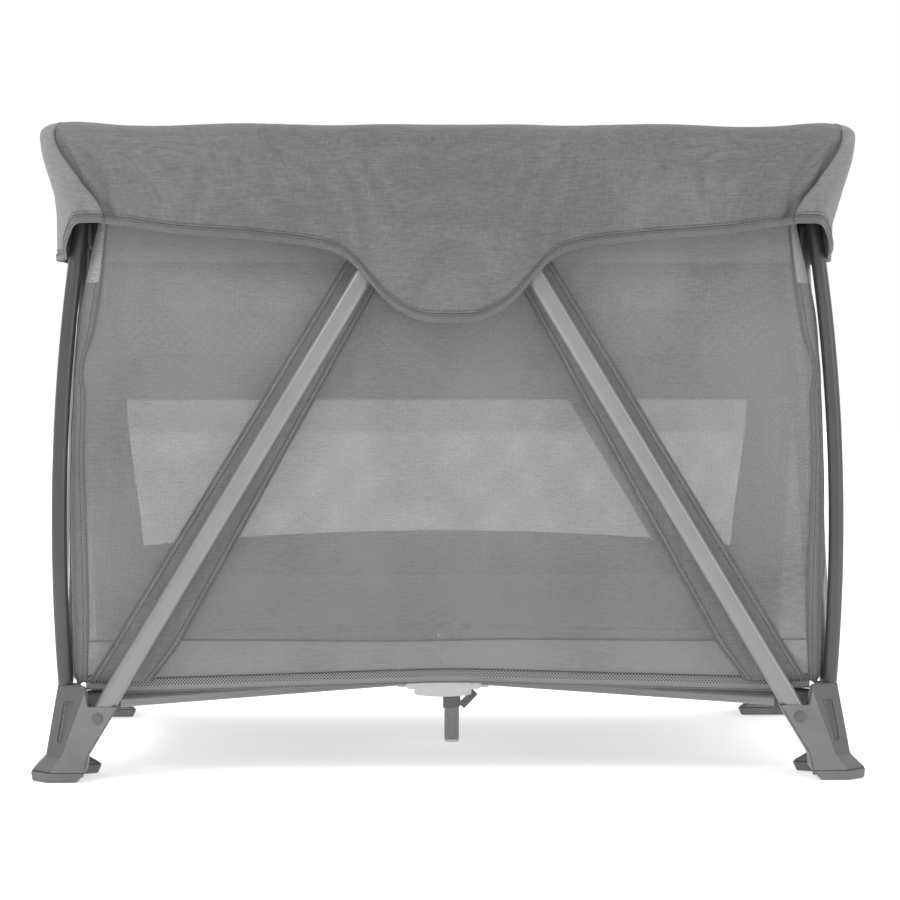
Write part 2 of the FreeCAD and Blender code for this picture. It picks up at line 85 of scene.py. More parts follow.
def along(x, table):
    """Smooth curve through a short table of (x, value)."""
    if x <= table[0][0]:
        return table[0][1]
    if x >= table[-1][0]:
        return table[-1][1]
    i = max(k for k in range(len(table) - 1) if table[k][0] <= x)

    def slope(k):
        (x0, v0), (x1, v1) = table[max(k - 1, 0)], table[min(k + 1, len(table) - 1)]
        return (v1 - v0) / (x1 - x0)

    (x0, v0), (x1, v1) = table[i], table[i + 1]
    h = x1 - x0
    t = (x - x0) / h
    bend = h * (slope(i) * t * (1 - t) ** 2 - slope(i + 1) * t * t * (1 - t))
    return v0 + (v1 - v0) * (3 - 2 * t) * t * t + bend


def bell(x, width):
    return math.exp(-(x / width) ** 2)


def wobble(x, y, scale, seed=0.0):
    return noise.noise(Vector((x / scale, y / scale, seed)))


# materials --------------------------------------------------------------------------------------------
class Nodes:
    def __init__(self, name):
        self.mat = bpy.data.materials.new(name)
        self.mat.use_nodes = True
        self.tree = self.mat.node_tree
        self.shader = self.tree.nodes["Principled BSDF"]
        self.place = self.add("ShaderNodeTexCoord").outputs["Object"]

    def add(self, kind, **values):
        node = self.tree.nodes.new(kind)
        for key, value in values.items():
            setattr(node, key, value)
        return node

    def link(self, a, b):
        self.tree.links.new(a, b)

    def scaled(self, scale, turn=(0, 0, 0)):
        node = self.add("ShaderNodeMapping")
        node.inputs["Scale"].default_value = scale
        node.inputs["Rotation"].default_value = turn
        self.link(self.place, node.inputs["Vector"])
        return node.outputs["Vector"]

    def noise(self, scale, detail=3.0, rough=0.55, turn=(0, 0, 0)):
        node = self.add("ShaderNodeTexNoise")
        node.inputs["Scale"].default_value = 1.0
        node.inputs["Detail"].default_value = detail
        node.inputs["Roughness"].default_value = rough
        self.link(self.scaled(scale, turn), node.inputs["Vector"])
        return node.outputs["Fac"]

    def wave(self, axis, period, flip=(1, 1, 1)):
        node = self.add("ShaderNodeTexWave", wave_type="BANDS", bands_direction=axis, wave_profile="SIN")
        node.inputs["Scale"].default_value = math.pi / 10.0 / period
        self.link(self.scaled(flip), node.inputs["Vector"])
        return node.outputs["Fac"]

    def math(self, how, a, b):
        node = self.add("ShaderNodeMath", operation=how)
        for socket, value in zip(node.inputs, (a, b)):
            if isinstance(value, (int, float)):
                socket.default_value = value
            else:
                self.link(value, socket)
        return node.outputs[0]

    def ramp(self, fac, stops):
        node = self.add("ShaderNodeValToRGB")
        elements = node.color_ramp.elements
        while len(elements) < len(stops):
            elements.new(0.5)
        for element, (at, colour) in zip(elements, stops):
            element.position, element.color = at, colour
        self.link(fac, node.inputs["Fac"])
        return node.outputs["Color"]

    def mix(self, fac, a, b):
        node = self.add("ShaderNodeMix", data_type="RGBA")
        for key, value in (("Factor", fac), ("A", a), ("B", b)):
            socket = [s for s in node.inputs if s.name == key and (s.type == "RGBA" or key == "Factor")][0]
            if isinstance(value, (int, float, tuple)):
                socket.default_value = value
            else:
                self.link(value, socket)
        return [s for s in node.outputs if s.type == "RGBA"][0]

    def bump(self, height, strength, depth):
        node = self.add("ShaderNodeBump")
        node.inputs["Strength"].default_value = strength
        node.inputs["Distance"].default_value = depth
        self.link(height, node.inputs["Height"])
        self.link(node.outputs["Normal"], self.shader.inputs["Normal"])

    def set(self, **values):
        for key, value in values.items():
            self.shader.inputs[key.replace("_", " ")].default_value = value
        return self


def cloth(name, dark, light, thread=0.0008, warm=0.6, streak=0.5, depth=0.0004):
    """Plain weave in a melange yarn: warp and weft ribs, with light and dark flecks along both."""
    n = Nodes(name)
    warp = n.noise((760, 760, 110), 3.0, 0.7)
    weft = n.noise((75, 75, 800), 3.0, 0.7)
    flecks = n.math("ADD", n.math("MULTIPLY", warp, 0.40), n.math("MULTIPLY", weft, 0.60))
    fade = n.noise((7, 7, 7), 2.0)
    tone = n.math("ADD", n.math("MULTIPLY", flecks, 0.8), n.math("MULTIPLY", fade, 0.2))
    spread = 0.065 / streak
    base = n.ramp(tone, [(0.5 - spread, grey(dark, warm)), (0.5 + spread, grey(light, warm))])
    ribs = n.math("MULTIPLY", n.math("ADD", n.wave("X", thread), n.wave("Y", thread)), n.wave("Z", thread))
    n.link(n.mix(n.math("MULTIPLY", ribs, 0.10), base, grey(dark - 30, warm)), n.shader.inputs["Base Color"])
    n.bump(n.math("ADD", ribs, n.math("MULTIPLY", flecks, 1.4)), 0.5, depth)
    n.set(Roughness=0.92, Sheen_Weight=0.22, Sheen_Roughness=0.5, Specular_IOR_Level=0.2)
    return n.mat


def net(name, dark, light, cover, pitch=0.0021, warm=0.3, contrast=0.5):
    """Knitted mesh: round holes in staggered rows. cover is the share of the light the yarn stops. Its colour
    is darkened at each hole, painted shade in the holes.
    """
    n = Nodes(name)
    holes = n.math("MULTIPLY", n.wave("DIAGONAL", pitch), n.wave("DIAGONAL", pitch, flip=(1, 1, -1)))
    rows = n.noise((60, 60, 420), 2.0)
    fade = n.noise((9, 9, 6), 2.0)
    tone = n.math("ADD", n.math("MULTIPLY", rows, 0.35), n.math("MULTIPLY", fade, 0.4))
    # painted shade: the colour darkens at each hole
    tone = n.math("SUBTRACT", n.math("ADD", tone, 0.28), n.math("MULTIPLY", holes, 0.30))
    n.link(n.ramp(tone, [(0.35, grey(dark, warm)), (0.65, grey(light, warm))]), n.shader.inputs["Base Color"])
    level = n.math("SUBTRACT", cover + contrast * 0.42, n.math("MULTIPLY", holes, contrast))
    n.link(n.math("MINIMUM", level, 1.0), n.shader.inputs["Alpha"])
    n.bump(n.math("SUBTRACT", n.math("MULTIPLY", rows, 0.5), holes), 0.35, 0.0005)
    n.set(Roughness=0.85, Sheen_Weight=0.15, Specular_IOR_Level=0.25)
    return n.mat


def paint(name, dark, light, rough=0.42, metal=0.35, warm=0.4):
    """Powder-coated tube: a fine orange peel, and a slightly uneven gloss."""
    n = Nodes(name)
    fade = n.noise((14, 14, 14), 3.0)
    speck = n.noise((1500, 1500, 1500), 2.0)
    tone = n.math("ADD", n.math("MULTIPLY", fade, 0.7), n.math("MULTIPLY", speck, 0.3))
    n.link(n.ramp(tone, [(0.3, grey(dark, warm)), (0.7, grey(light, warm))]), n.shader.inputs["Base Color"])
    gloss = n.math("ADD", n.math("MULTIPLY", fade, 0.16), rough - 0.08)
    n.link(gloss, n.shader.inputs["Roughness"])
    n.bump(n.noise((900, 900, 900), 2.0), 0.08, 0.0002)
    return n.set(Metallic=metal, Coat_Weight=0.12, Coat_Roughness=0.4).mat


def moulded(name, dark, light, rough=0.55, grain=0.0011, warm=0.4, bump=0.22, painted_facet_shade=0):
    """Moulded plastic or rubber with a spark-eroded grain. The darkening of faces set across a corner is
    painted shade, for faces turned away from the front light.
    """
    n = Nodes(name)
    fade = n.noise((22, 22, 22), 3.0)
    pits = n.noise((1 / grain, 1 / grain, 1 / grain), 2.0)
    colour = n.ramp(fade, [(0.3, grey(dark, warm)), (0.7, grey(light, warm))])
    # painted shade: faces whose normal points diagonally across a corner are darkened
    if painted_facet_shade:
        normal = n.add("ShaderNodeSeparateXYZ")
        n.link(n.add("ShaderNodeNewGeometry").outputs["Normal"], normal.inputs[0])
        across = n.math("ABSOLUTE", n.math("MULTIPLY", normal.outputs["X"], normal.outputs["Y"]), 0.0)
        share = n.ramp(across, [(0.10, (0, 0, 0, 1)), (0.26, (1, 1, 1, 1))])
        colour = n.mix(share, colour, grey(dark - painted_facet_shade, warm))
    n.link(colour, n.shader.inputs["Base Color"])
    n.link(n.math("ADD", n.math("MULTIPLY", pits, 0.2), rough - 0.1), n.shader.inputs["Roughness"])
    n.bump(pits, bump, 0.0003)
    return n.set(Specular_IOR_Level=0.4).mat


def steel(name, tone):
    n = Nodes(name)
    turned = n.noise((60, 60, 900), 2.0)
    n.link(n.ramp(turned, [(0.3, grey(tone - 14)), (0.7, grey(tone + 10))]), n.shader.inputs["Base Color"])
    n.link(n.math("ADD", n.math("MULTIPLY", turned, 0.15), 0.22), n.shader.inputs["Roughness"])
    n.bump(turned, 0.08, 0.0002)
    return n.set(Metallic=1.0).mat


def eyelets(name, dark, light, pitch):
    """Pale edge tape knitted with staggered eyelets, and the shade behind the tape in each of them."""
    n = Nodes(name)
    holes = n.math("MULTIPLY", n.wave("DIAGONAL", pitch), n.wave("DIAGONAL", pitch, flip=(1, 1, -1)))
    n.link(n.ramp(holes, [(0.24, grey(light)), (0.42, grey(dark))]), n.shader.inputs["Base Color"])
    n.bump(n.math("MINIMUM", n.math("SUBTRACT", 0.6, holes), 0.3), 0.5, 0.0006)
    return n.set(Roughness=0.85, Sheen_Weight=0.1).mat


def ribbed(name, dark, light, rib=0.0016, way="Z"):
    """Woven webbing with ribs across its length. Its colour follows the ribs, lighter on their crests and
    darker in the grooves, painted light and shade, over the yarn's own flecks.
    """
    n = Nodes(name)
    ribs = n.wave(way, rib)
    yarn = n.noise((500, 500, 500), 2.0)
    # painted light and shade: the rib wave that raises each crest also lightens it and darkens the grooves
    tone = n.math("ADD", n.math("MULTIPLY", ribs, 0.6), n.math("MULTIPLY", yarn, 0.4))
    n.link(n.ramp(tone, [(0.25, grey(dark)), (0.75, grey(light))]), n.shader.inputs["Base Color"])
    n.bump(tone, 0.6, 0.0006)
    return n.set(Roughness=0.8, Sheen_Weight=0.1).mat


WOVEN = cloth("woven_melange", 92, 120)
# the end aprons' copy of the woven melange, lighter by painted light on their faces
WOVEN_END_PAINTED_LIGHT = cloth("woven_melange_end_painted_light", 108, 136)
BAND = cloth("woven_band", 104, 128, streak=0.5)
BINDING = cloth("woven_binding", 92, 116, thread=0.0006, streak=0.4)
LINER = cloth("liner_cloth", 150, 166, thread=0.0007, streak=0.3, depth=0.0002)
TUB = cloth("tub_cloth", 132, 148, thread=0.0009, streak=0.3)
QUILT = cloth("mattress_cloth", 150, 168, thread=0.0010, streak=0.4)
THREAD = cloth("thread", 66, 84, thread=0.0004)
MESH = net("mesh_knit", 100, 134, 0.64, pitch=0.0016, contrast=0.6)
MESH_END = net("mesh_knit_end", 108, 132, 0.84, pitch=0.0016, contrast=0.3)
MESH_BACK = net("mesh_knit_back", 112, 132, 0.60, pitch=0.0018, contrast=0.3)
MESH_LOWER = net("mesh_knit_lower", 112, 138, 0.76, pitch=0.0013, contrast=0.4)
MESH_INNER = net("mesh_knit_inner", 122, 148, 0.56, pitch=0.0017, contrast=0.4)
# a lighter, denser copy of the mesh: painted light for the corner strip's top, which lies in shade under the
# apron
MESH_CORNER_PAINTED_LIGHT = net("mesh_knit_corner_painted_light", 128, 156, 0.84, pitch=0.0015, contrast=0.3)
EYELET = eyelets("eyelet_tape", 6, 128, 0.0020)
LEG = paint("leg_paint", 129, 138, rough=0.34, metal=0.55)
POST = paint("post_paint", 70, 78, rough=0.34, metal=0.5)
RIVET = paint("rivet_paint", 88, 98, rough=0.3, metal=0.6)
SPOKE = paint("tube_paint", 132, 142, rough=0.36)
# the housings' diagonal corner faces carry painted shade
HOUSING = moulded("housing_plastic", 106, 116, rough=0.46, painted_facet_shade=20)
PAD = moulded("pad_rubber", 98, 108, rough=0.72, grain=0.0008)
CAP = moulded("cap_plastic", 86, 96)
HUB = moulded("hub_plastic", 240, 248, rough=0.5)
HANDLE = moulded("handle_plastic", 132, 142)
WHITE = moulded("white_plastic", 214, 224, rough=0.5)
STEEL = steel("pin_steel", 168)
SPRING = steel("spring_steel", 150)
ZONE_MATERIAL = {
    "RIBBING": ribbed("grosgrain", 104, 142, rib=0.0011, way="DIAGONAL"), "EYELET": EYELET, "BAND": BAND,
    "LOWER": MESH_LOWER, "UPPER": MESH_LOWER, "MESH": MESH, "MESH_BACK": MESH_BACK, "MESH_END": MESH_END,
    "INNER": MESH_INNER, "LINER": LINER,
}
WEBBING = ribbed("webbing", 66, 150, rib=0.0017, way="DIAGONAL")


# making pieces ----------------------------------------------------------------------------------------
def piece(name, verts, faces, mat):
    mesh = bpy.data.meshes.new(name)
    mesh.from_pydata([tuple(v) for v in verts], [], faces)
    mesh.validate()
    obj = bpy.data.objects.new(name, mesh)
    bpy.context.scene.collection.objects.link(obj)
    mesh.materials.append(mat)
    mesh.polygons.foreach_set("use_smooth", [True] * len(mesh.polygons))
    mesh.update()
    return obj


def apply(obj, kind, **values):
    mod = obj.modifiers.new(kind.lower(), kind)
    for key, value in values.items():
        setattr(mod, key, value)
    bpy.context.view_layer.objects.active = obj
    with bpy.context.temp_override(object=obj, active_object=obj):
        bpy.ops.object.modifier_apply(modifier=mod.name)
    return obj


def grid(across, down):
    """Faces of a sheet of across x down cells, whose points are listed row by row."""
    row = across + 1
    return [(j * row + i, j * row + i + 1, (j + 1) * row + i + 1, (j + 1) * row + i)
            for j in range(down) for i in range(across)]


def surface(name, across, down, at, mat, thick=0.0012):
    """A cloth of across x down cells, at(u, v) giving its middle, with its real thickness."""
    verts = [at(i / across, j / down) for j in range(down + 1) for i in range(across + 1)]
    obj = piece(name, verts, grid(across, down), mat)
    return apply(obj, "SOLIDIFY", thickness=thick, offset=0.0)


def zoned_sheet(name, verts, kinds, across):
    """A single-layer sheet with one row of cells for each of kinds, the cloth of that row."""
    names = list(dict.fromkeys(kinds))
    obj = piece(name, verts, grid(across, len(kinds)), ZONE_MATERIAL[names[0]])
    for kind in names[1:]:
        obj.data.materials.append(ZONE_MATERIAL[kind])
    for polygon in obj.data.polygons:
        polygon.material_index = names.index(kinds[polygon.index // across])
    return obj


def tube(name, points, radius, mat, sides=8, closed=False):
    """A cord of constant radius along a line of points."""
    points = [Vector(p) for p in points]
    count = len(points)
    verts, faces = [], []
    side = None
    for i, p in enumerate(points):
        before = points[(i - 1) % count] if closed or i else p
        after = points[(i + 1) % count] if closed or i < count - 1 else p
        way = (after - before).normalized()
        if side is None:
            side = way.orthogonal()
        side = (side - way * side.dot(way)).normalized()
        other = way.cross(side)
        for k in range(sides):
            a = 2 * math.pi * k / sides
            verts.append(p + (side * math.cos(a) + other * math.sin(a)) * radius)
    for i in range(count if closed else count - 1):
        for k in range(sides):
            a, b = i * sides, ((i + 1) % count) * sides
            faces.append((a + k, a + (k + 1) % sides, b + (k + 1) % sides, b + k))
    if not closed:
        faces.append(tuple(range(sides))[::-1])
        faces.append(tuple((count - 1) * sides + k for k in range(sides)))
    return piece(name, verts, faces, mat)


def spaced(points, step):
    """Points step apart along a line."""
    points = [Vector(p) for p in points]
    out, left = [points[0]], step
    for a, b in zip(points, points[1:]):
        run = (b - a).length
        while run > 1e-9 and left <= run:
            a = a + (b - a) * (left / run)
            run = (b - a).length
            out.append(a.copy())
            left = step
        left -= run
    return out


def stitches(name, lines, length=0.0026, gap=0.0014, width=0.0005):
    """Rows of single stitches, each a short six-sided bead, along lines of points."""
    verts, faces = [], []
    for line in lines:
        path = spaced(line, (length + gap) / 2)
        for a, b in zip(path[::2], path[1::2]):
            way = (b - a).normalized()
            side = way.orthogonal().normalized()
            other = way.cross(side)
            middle = (a + b) / 2
            base = len(verts)
            ends = ((-length / 2, 0.35), (-length / 4, 1.0), (length / 4, 1.0), (length / 2, 0.35))
            for t, grow in ends:
                for k in range(6):
                    turn = math.pi * k / 3
                    spoke = side * math.cos(turn) + other * math.sin(turn)
                    verts.append(middle + way * t + spoke * width * grow)
            for ring in range(3):
                for k in range(6):
                    p, q = base + ring * 6, base + ring * 6 + 6
                    faces.append((p + k, p + (k + 1) % 6, q + (k + 1) % 6, q + k))
            faces.append(tuple(base + k for k in range(6))[::-1])
            faces.append(tuple(base + 18 + k for k in range(6)))
    return piece(name, verts, faces, THREAD)


def softened(node, mat, voxel, rounds):
    """A moulding of the frame again, with every edge rounded as it leaves the mould."""
    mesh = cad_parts[node].data.copy()
    mesh.materials.clear()
    obj = bpy.data.objects.new(node + "_moulding", mesh)
    bpy.context.scene.collection.objects.link(obj)
    apply(obj, "REMESH", mode="VOXEL", voxel_size=voxel)
    apply(obj, "SMOOTH", factor=0.5, iterations=rounds)
    obj.data.materials.append(mat)
    obj.data.polygons.foreach_set("use_smooth", [True] * len(obj.data.polygons))
    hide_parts(node)
    return obj


def follow(obj, body, parts=(), **fold):
    """Rides on a body, and gets a mesh of its own where a fold is given; the fold's values are not used. Its
    small parts do the same.
    """
    for one in (obj, *parts):
        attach(one, body)
        if fold:
            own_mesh(one)
    return obj


# shape of the frame, read once ------------------------------------------------------------------------
def post_out(z):
    """How far the corner post's middle has moved outwards from its foot, at a height."""
    low, high, bow_z, bow, lean = 0.040, 0.770, 0.330, 0.013, 0.026
    rise = (z - low) / (high - low)
    swell = (bow + lean * (bow_z - low) / (high - low)) * (z - low) * (high - z)
    return swell / ((bow_z - low) * (high - bow_z)) - lean * rise


def end_x(z):
    """Half length of the tub at its corners: they hang just inside the posts."""
    out = post_out(min(max(z, 0.09), 0.70))
    return 0.4625 + (0.9 * out if out > 0 else 1.75 * out)


def end_y(z):
    """Where an end wall's mesh stops and the corner strip begins."""
    return END_Y + 1.4 * min(post_out(min(z, 0.72)), 0.0)


SEAM = [(0.11, 0.4535), (0.223, 0.4510), (0.40, 0.4560), (0.475, 0.4540), (0.511, 0.4575),
        (0.558, 0.4430), (0.676, 0.4270), (0.80, 0.4180)]
SEAM_BACK = [(0.11, 0.4250), (0.25, 0.4300), (0.458, 0.4535), (0.558, 0.4430), (0.676, 0.4270),
             (0.80, 0.4180)]


def seam_x(z, side="front"):
    """Where the mesh of a long wall ends and its woven corner strip begins."""
    return along(z, SEAM if side == "front" else SEAM_BACK)


def tub_low(x):
    """Lower edge of the tub: it is drawn up a little between the corners."""
    return max(0.1172 - 0.031 * math.hypot(x, 0.03), 0.1048) + 0.004 * smooth(0.41, 0.44, abs(x))


def long_face(x, z):
    """The long wall's cloth: nearly flat, pulled in a little between the posts."""
    pull = 0.0030 * (1 - (x / 0.46) ** 2) * math.sin(math.pi * min(max((z - 0.11) / 0.68, 0), 1))
    ripple = 0.0012 * wobble(x, z * 0.6, 0.16, 3.0)
    ripple += 0.0010 * wobble(x * 0.4, z, 0.05, 5.0) * smooth(0.40, 0.2, z)
    return -WALL_Y + pull + ripple


def end_face(y, z):
    """The end wall's cloth: drawn in between the lower posts, and out to the rail at the top."""
    corner = end_x(z)
    middle = corner - 0.012 + max(0.4625 - corner, 0.0) * 1.3
    ripple = 0.0012 * wobble(y, z * 0.6, 0.16, 9.0)
    return corner + (middle - corner) * (1 - (y / end_y(z)) ** 2) + ripple


def leg_y(z):
    """Middle of a V leg on an end."""
    return 0.275 - 0.249 * (z - 0.077) / 0.613


def mirror(point, sx, sy):
    return Vector((point[0] * sx, point[1] * -sy, point[2]))


# tub walls --------------------------------------------------------------------------------------------
# (height where a cloth ends, its name), from the lower edge up; the first two count from that edge
HEM_ZONES = [(0.0080, "RIBBING"), (0.0170, "EYELET")]
WALL_ZONES = {
    "front": [*HEM_ZONES, (0.170, "LOWER"), (0.642, "MESH"), (WALL_TOP, "UPPER")],
    "back": [*HEM_ZONES, (0.203, "LINER"), (0.258, "BAND"), (0.642, "MESH_BACK"),
             (WALL_TOP, "UPPER")],
    "end": [*HEM_ZONES, (0.170, "LOWER"), (0.642, "MESH_END"), (WALL_TOP, "UPPER")],
}


def zoned_panel(name, half, face, low, zones, across):
    """A wall panel whose cloth changes with height. half(z) is its half width, face(a, z) its depth."""
    kinds, shares = [], [(0, 0.0)]
    for index, (top, kind) in enumerate(zones):
        count = 2 if top <= TRIM else max(2, int((top - 0.11) / 0.016))
        for k in range(1, count + 1):
            shares.append((index, k / count))
            kinds.append(kind)
    verts = []
    for index, share in shares:
        for i in range(across + 1):
            a = 2 * i / across - 1
            base = low(a * half(0.13))
            arch = 0.022 * (1 - (a * a)) - 0.012
            tops = [base] + [base + top if top <= TRIM else top + (arch if kind == "BAND" else 0.0)
                             for top, kind in zones]
            z = tops[index] + (tops[index + 1] - tops[index]) * share
            verts.append(face(a * half(z), z))
    return zoned_sheet(name, verts, kinds, across)


def long_point(x, z, lift, sy):
    return mirror((x, long_face(x, z) - lift, z), 1, sy)


def end_point(y, z, lift, sx):
    return mirror((end_face(y, z) + lift, y, z), sx, -1)


def band_edges_long(z):
    inner = 0.3381 - 0.555 * (z - 0.1648) if z > 0.1648 else 0.3381 + 0.035 * (0.1648 - z) / 0.0461
    return inner, 0.4529 - 0.612 * (z - 0.1112)


def band_edges_back(z):
    inner, outer = band_edges_long(z)
    return inner + 0.034, outer


def band_edges_end(z):
    inner = leg_y(z) - 0.045 + 0.021 * smooth(0.16, 0.61, z)
    return inner, min(leg_y(z) + 0.033, end_y(z) - 0.006)


def wall_band(name, edges, point):
    """Woven strip sewn over the mesh behind a V leg, with piped edges and a row of stitches inside each."""
    heights = [BAND_LOW + (BAND_TOP - BAND_LOW) * k / 44 for k in range(45)]

    def at(u, v):
        z = heights[round(v * 44)]
        inner, outer = edges(z)
        crown = 0.0012 * math.sin(math.pi * u) + 0.0007 * wobble(z, u * 0.05, 0.03, 2.0)
        return point(inner + (outer - inner) * u, z, 0.0022 + crown)

    strip = surface(name, 10, 44, at, BAND, 0.0012)
    lines = [[point(edges(z)[side], z, 0.0024) for z in heights] for side in (0, 1)]
    cords = [tube(name + "_piping_%d" % k, line, 0.0014, BINDING) for k, line in enumerate(lines)]
    inset = []
    for side, way in ((0, 1), (1, -1)):
        inset.append([point(edges(z)[side] + way * 0.007, z, 0.0040) for z in heights])
    return strip, [*cords, stitches(name + "_stitches", inset)]


for side, sy in (("front", -1), ("back", 1)):
    panel = zoned_panel(
        "wall_" + side, lambda z: seam_x(z, side), lambda x, z: long_point(x, z, 0.0, sy),
        tub_low, WALL_ZONES[side], 72)
    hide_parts("mesh_wall_" + side)
    extras = []
    for hand in (-1, 1):
        strip, parts = wall_band(
            "wall_band_%s_%s" % (side, HAND[hand]),
            band_edges_long if side == "front" else band_edges_back,
            lambda x, z, lift: mirror((x, long_face(x, z) - lift, z), hand, sy))
        extras += [strip, *parts]
    columns = [WALL_HALF * (2 * k / 90 - 1) for k in range(91)]
    for tag, rise, radius in (("edge", 0.001, 0.0010), ("line", 0.0175, 0.0007)):
        points = [long_point(x, tub_low(x) + rise, 0.001, sy) for x in columns]
        mat = BINDING if tag == "edge" else THREAD
        extras.append(tube("wall_%s_%s" % (side, tag), points, radius, mat))
    seam_z = WALL_ZONES[side][2][0]
    seam = [long_point(x, seam_z + 0.002 * wobble(x, 0, 0.2), 0.0006, sy) for x in columns]
    extras.append(tube("wall_%s_seam" % side, seam, 0.0007, BINDING, sides=6))
    follow(panel, LONG_BODY[side], extras, **LONG_FOLD)

for side, sx in SIDE_X.items():
    panel = zoned_panel(
        "wall_" + side, end_y, lambda y, z: end_point(y, z, 0.0, sx),
        tub_low, WALL_ZONES["end"], 48)
    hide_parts("mesh_wall_" + side)
    extras = []
    for hand in (-1, 1):
        strip, parts = wall_band(
            "wall_band_%s_%s" % (side, "front" if hand < 0 else "back"), band_edges_end,
            lambda y, z, lift: mirror((end_face(y, z) + lift, y * hand, z), sx, -1))
        extras += [strip, *parts]
    columns = [END_Y * (2 * k / 60 - 1) for k in range(61)]
    for tag, rise, radius in (("edge", 0.001, 0.0010), ("line", 0.0175, 0.0007)):
        points = [end_point(y, tub_low(y) + rise, 0.001, sx) for y in columns]
        mat = BINDING if tag == "edge" else THREAD
        extras.append(tube("wall_%s_%s" % (side, tag), points, radius, mat))
    follow(panel, END_BODY[side], extras, **END_FOLD)

for corner, (sx, sy) in CORNER.items():
    side = "front" if sy < 0 else "back"

    def strip_point(u, z, out=0.0):
        turn = math.pi / 2 * u
        x0, y0 = seam_x(z, side), end_y(z)
        a, b = end_x(z) - x0 + out, WALL_Y - y0 + out
        crease = 0.0010 * wobble(u * 0.1, z, 0.035, sx + 2.0 * sy)
        return mirror((x0 + (a + crease) * math.sin(turn), -y0 - (b + crease) * math.cos(turn), z), sx, sy)

    strip = surface("corner_strip_" + corner, 12, 70,
                    lambda u, v: strip_point(u, 0.118 + (WALL_TOP - 0.118) * v), BAND, 0.0014)
    # the strip's top under the apron takes the lighter mesh copy, painted light against the shade there
    strip.data.materials.append(MESH_CORNER_PAINTED_LIGHT)
    for polygon in strip.data.polygons:
        polygon.material_index = 1 if polygon.center.z > 0.622 else 0
    levels = [0.119 + (WALL_TOP - 0.120) * k / 70 for k in range(71)]
    cords = [tube("corner_strip_%s_piping_%d" % (corner, k), [strip_point(u, z, 0.0008) for z in levels],
                  0.0015, BINDING) for k, u in enumerate((0.0, 1.0))]
    rows = stitches("corner_strip_%s_stitches" % corner,
                    [[strip_point(u, z, 0.0011) for z in levels if z < 0.620] for u in (0.16, 0.9)])
    follow(strip, "corner_" + corner, [*cords, rows])


# aprons over the rim ----------------------------------------------------------------------------------
CORNER_R = 0.055
STRAIGHT_X, STRAIGHT_Y = APRON_END - CORNER_R, APRON_FACE - CORNER_R
ARC = math.pi / 2 * CORNER_R
HALF_RUN = STRAIGHT_X + ARC + STRAIGHT_Y

DART = [(0.690, 0.424), (0.701, 0.430), (0.723, 0.447), (0.755, 0.470), (0.797, 0.489), (0.815, 0.486)]
FRONT_HEM = [(0.0, 0.567), (0.035, 0.569), (0.062, 0.581), (0.080, 0.595), (0.100, 0.617), (0.121, 0.640),
             (0.140, 0.652), (0.170, 0.660), (0.247, 0.669), (0.340, 0.676), (0.424, 0.688), (0.52, 0.692)]
END_HEM = [(0.0, 0.650), (0.12, 0.648), (0.24, 0.647), (0.300, 0.650), (0.335, 0.662), (0.360, 0.685),
           (0.375, 0.692)]


ROLL_END, ROLL_LOW = 0.28, 0.7950   # share of the cloth in the roll over the rim, and where it ends
ROLL = [(0.0, -0.046, 0.8046), (0.05, -0.042, 0.8078), (0.12, -0.027, 0.8100), (0.18, -0.012, 0.8095),
        (0.23, -0.003, 0.8035), (ROLL_END, 0.0, ROLL_LOW)]     # (share, outwards, height)
COLUMNS = 170                       # cells along each apron


def plan(s):
    """Point and outward direction on the rim's outline, s along it from the middle of the front."""
    if s < STRAIGHT_X:
        return s, -APRON_FACE, 0.0, -1.0
    if s < STRAIGHT_X + ARC:
        a = (s - STRAIGHT_X) / CORNER_R
        nx, ny = math.sin(a), -math.cos(a)
        return STRAIGHT_X + CORNER_R * nx, -STRAIGHT_Y + CORNER_R * ny, nx, ny
    return APRON_END, -STRAIGHT_Y + (s - STRAIGHT_X - ARC), 1.0, 0.0


def dart_run(z):
    """The seam beside each corner, where the front apron ends and the end apron wraps round."""
    x = along(z, DART)
    return x if x < STRAIGHT_X else STRAIGHT_X + CORNER_R * math.asin((x - STRAIGHT_X) / CORNER_R)


def hem_at(s, piece_kind):
    x, y, _, _ = plan(s)
    return along(abs(x), FRONT_HEM) if piece_kind == "front" else along(abs(y), END_HEM)


